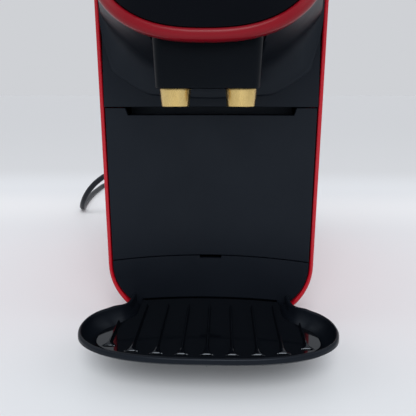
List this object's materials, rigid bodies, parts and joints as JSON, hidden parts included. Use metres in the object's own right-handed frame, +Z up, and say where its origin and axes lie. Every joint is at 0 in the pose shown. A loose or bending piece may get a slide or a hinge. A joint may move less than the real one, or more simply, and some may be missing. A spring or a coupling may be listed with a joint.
{
  "type": "pod coffee machine",
  "caption": "Narrow pod coffee machine with a concave cup niche, round-nosed head, lifting lever, twin brass spout, capsule drawer, flared drip tray and rear water tank.",
  "frame": {"origin": "on the table under the middle of the machine's outline, without its mains lead", "axes": "+X to the machine's right as seen from the front, +Y to the back, +Z up; the front faces -Y"},
  "size_m": [0.285, 0.618, 0.28],
  "materials": {
    "red_casing": "satin-gloss moulded red",
    "niche_satin": "fine satin",
    "satin_black": "satin",
    "gloss_black": "high gloss",
    "tray_black": "gloss inside, satin outside",
    "brass": "satin turned",
    "inner_plastic": "plain moulded",
    "rubber": "plain",
    "screw_steel": "zinc plated",
    "chrome": "polished",
    "button_grey": "satin",
    "frame_steel": "pressed sheet",
    "light_alloy": "cast",
    "piston_white": "moulded",
    "circuit_board": "solder mask",
    "hose_clear": "silicone",
    "wire_red": "sleeved",
    "tank_smoke": "clear smoked",
    "cord_black": "satin flexible sleeve",
    "plug_black": "moulded",
    "pin_metal": "nickel plated"
  },
  "bodies": {
    "machine": {"casing_left": "red_casing", "casing_right": "red_casing", "front_panel": "niche_satin", "head_shell": "satin_black", "head_ring": "red_casing", "head_front": "gloss_black", "spout_collar": "satin_black", "spout_body": "satin_black", "nozzle_left": "brass", "nozzle_right": "brass", "coffee_funnel": "inner_plastic", "base_plate": "inner_plastic", "feet": "rubber", "base_screws": "screw_steel", "rear_housing": "satin_black", "housing_screws": "screw_steel", "chassis": "inner_plastic", "top_cover": "satin_black", "capsule_chute": "inner_plastic", "lever_pin": "screw_steel", "button_panel": "gloss_black", "button_board": "circuit_board", "brew_frame": "frame_steel", "injector": "light_alloy", "guide_rods": "screw_steel", "pump": "light_alloy", "pump_mounts": "rubber", "flow_meter": "piston_white", "heater": "light_alloy", "heater_bracket": "inner_plastic", "control_board": "circuit_board", "cold_hose": "hose_clear", "pump_hose": "hose_clear", "hot_hose": "hose_clear", "wiring": "wire_red", "tank_seat": "inner_plastic", "seat_seal": "rubber", "cord_gland": "rubber", "cord": "cord_black", "cord_coil": "cord_black", "cord_tail": "cord_black", "plug": "plug_black", "plug_pins": "pin_metal"},
    "drawer": {"drawer_front": "niche_satin", "capsule_bin": "inner_plastic"},
    "tray": {"drip_tray": "tray_black", "tray_upright": "niche_satin"},
    "plate": {"drip_plate": "gloss_black"},
    "lever": {"lever": "gloss_black", "lever_trim": "chrome"},
    "piston": {"brew_piston": "piston_white", "drive_links": "screw_steel"},
    "button_1": {"button_1": "button_grey"},
    "button_2": {"button_2": "button_grey"},
    "button_3": {"button_3": "button_grey"},
    "button_4": {"button_4": "button_grey"},
    "tank": {"water_tank": "tank_smoke", "tank_valve": "piston_white", "lid_pin": "screw_steel"},
    "lid": {"tank_lid": "gloss_black"}
  },
  "joints": [
    {"name": "lever_lift", "type": "hinge", "parent": "machine", "child": "lever", "pos_m": [0, -0.0105, 0.276], "axis": [-1, 0, 0], "range_deg": [0, 65]},
    {"name": "piston_slide", "type": "slide", "parent": "machine", "child": "piston", "axis": [0, -1, 0], "range_m": [0, 0.022]},
    {"name": "drawer_slide", "type": "slide", "parent": "machine", "child": "drawer", "axis": [0, -1, 0], "range_m": [0, 0.11]},
    {"name": "tray_slide", "type": "slide", "parent": "machine", "child": "tray", "axis": [0, -1, 0], "range_m": [0, 0.08]},
    {"name": "plate_lift", "type": "slide", "parent": "tray", "child": "plate", "axis": [0, 0, 1], "range_m": [0, 0.02]},
    {"name": "tank_lift", "type": "slide", "parent": "machine", "child": "tank", "axis": [0, 0, 1], "range_m": [0, 0.06]},
    {"name": "lid_hinge", "type": "hinge", "parent": "tank", "child": "lid", "pos_m": [0, 0.1975, 0.262], "axis": [-1, 0, 0], "range_deg": [0, 95]},
    {"name": "button_1_press", "type": "slide", "parent": "machine", "child": "button_1", "axis": [0, 0, -1], "range_m": [0, 0.0015], "stiffness_N_per_m": 400, "springref_m": -0.001},
    {"name": "button_2_press", "type": "slide", "parent": "machine", "child": "button_2", "axis": [0, 0, -1], "range_m": [0, 0.0015], "stiffness_N_per_m": 400, "springref_m": -0.001},
    {"name": "button_3_press", "type": "slide", "parent": "machine", "child": "button_3", "axis": [0, 0, -1], "range_m": [0, 0.0015], "stiffness_N_per_m": 400, "springref_m": -0.001},
    {"name": "button_4_press", "type": "slide", "parent": "machine", "child": "button_4", "axis": [0, 0, -1], "range_m": [0, 0.0015], "stiffness_N_per_m": 400, "springref_m": -0.001}
  ],
  "couplings": [
    {"joint": "piston_slide", "follows": "lever_lift", "m_per_rad": 0.01939}
  ]
}
